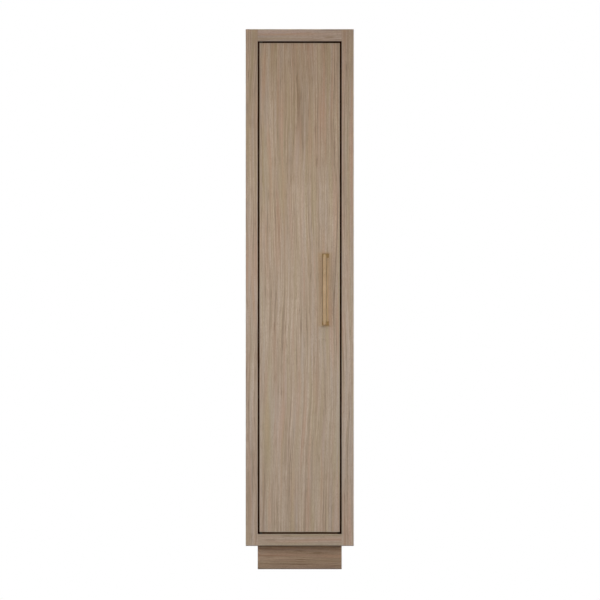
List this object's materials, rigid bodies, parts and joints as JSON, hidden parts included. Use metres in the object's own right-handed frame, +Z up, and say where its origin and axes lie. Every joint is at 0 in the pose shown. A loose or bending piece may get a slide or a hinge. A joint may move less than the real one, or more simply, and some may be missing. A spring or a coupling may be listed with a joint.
{
  "type": "tall storage cabinet",
  "caption": "Tall narrow storage cabinet: flat frame round an inset slab door on hidden pivots, slim brass bar pull, shelves inside, set-back plinth.",
  "frame": {"origin": "on the floor, under the middle of the whole object with its pull", "axes": "+Z up, -Y out of the door's front, +X to the right as seen from the front"},
  "size_m": [0.4572, 0.5684, 2.286],
  "materials": {
    "oak_face": "light greige oak veneer and solid oak, matt lacquer",
    "oak_inside": "light oak veneer, matt lacquer",
    "back_board": "thin oak-veneered board, matt lacquer",
    "dark_stained_wood": "near-black brown stain, dead matt",
    "plain_wood": "sawn and planed softwood, unfinished",
    "dowel_wood": "fluted hardwood, unfinished",
    "satin_brass": "brushed satin brass, slightly aged",
    "blackened_steel": "black oxide, satin",
    "zinc_plated_steel": "bright zinc plate",
    "nickel_plated_steel": "nickel plate",
    "foot_steel": "zinc plate, dull",
    "catch_plastic": "moulded, matt brown",
    "bumper_rubber": "clear grey, soft"
  },
  "bodies": {
    "carcass": {"frame_dowels": "dowel_wood", "upper_hinge_frame_leaf": "blackened_steel", "lower_hinge_frame_leaf": "blackened_steel", "hinge_frame_screws": "blackened_steel", "hinge_washers": "blackened_steel", "left_stile": "oak_face", "right_stile": "oak_face", "top_rail": "oak_face", "bottom_rail": "oak_face", "hinge_side_stop": "dark_stained_wood", "catch_side_stop": "dark_stained_wood", "top_stop": "dark_stained_wood", "bottom_stop": "dark_stained_wood", "back_panel_screws": "zinc_plated_steel", "left_side_panel": "oak_face", "right_side_panel": "oak_face", "top_panel": "oak_face", "floor_panel": "oak_inside", "back_panel": "back_board", "hanging_rail": "oak_inside", "plinth_screws": "zinc_plated_steel", "front_bearer": "plain_wood", "rear_bearer": "plain_wood", "left_bearer": "plain_wood", "right_bearer": "plain_wood", "plinth_front_board": "oak_face", "plinth_back_board": "oak_face", "plinth_left_board": "oak_face", "plinth_right_board": "oak_face", "plinth_corner_blocks": "plain_wood", "leveller_nuts": "zinc_plated_steel", "catch_screws": "zinc_plated_steel", "adjustable_shelf_1": "oak_inside", "adjustable_shelf_2": "oak_inside", "fixed_shelf": "oak_inside", "adjustable_shelf_3": "oak_inside", "adjustable_shelf_4": "oak_inside", "shelf_edge_bands": "oak_inside", "shelf_pins": "nickel_plated_steel", "catch_housing": "catch_plastic", "door_bumpers": "bumper_rubber"},
    "door": {"upper_hinge_door_leaf": "blackened_steel", "lower_hinge_door_leaf": "blackened_steel", "hinge_door_screws": "blackened_steel", "strike_screws": "zinc_plated_steel", "catch_strike_plate": "zinc_plated_steel", "pull_bar": "satin_brass", "pull_screws": "zinc_plated_steel", "pull_upper_post": "satin_brass", "pull_lower_post": "satin_brass", "door_panel": "oak_face", "door_edge_band_left": "oak_face", "door_edge_band_right": "oak_face", "door_edge_band_top": "oak_face", "door_edge_band_bottom": "oak_face"},
    "front_left_levelling_foot": {"front_left_levelling_foot": "foot_steel"},
    "front_right_levelling_foot": {"front_right_levelling_foot": "foot_steel"},
    "rear_left_levelling_foot": {"rear_left_levelling_foot": "foot_steel"},
    "rear_right_levelling_foot": {"rear_right_levelling_foot": "foot_steel"}
  },
  "joints": [
    {"name": "door_swing", "type": "hinge", "parent": "carcass", "child": "door", "pos_m": [-0.16386, -0.2392, 1.143], "axis": [0, 0, -1], "range_deg": [0, 105]},
    {"name": "front_left_foot_screw", "type": "slide", "parent": "carcass", "child": "front_left_levelling_foot", "axis": [0, 0, -1], "range_m": [0, 0.012]},
    {"name": "front_right_foot_screw", "type": "slide", "parent": "carcass", "child": "front_right_levelling_foot", "axis": [0, 0, -1], "range_m": [0, 0.012]},
    {"name": "rear_left_foot_screw", "type": "slide", "parent": "carcass", "child": "rear_left_levelling_foot", "axis": [0, 0, -1], "range_m": [0, 0.012]},
    {"name": "rear_right_foot_screw", "type": "slide", "parent": "carcass", "child": "rear_right_levelling_foot", "axis": [0, 0, -1], "range_m": [0, 0.012]}
  ]
}
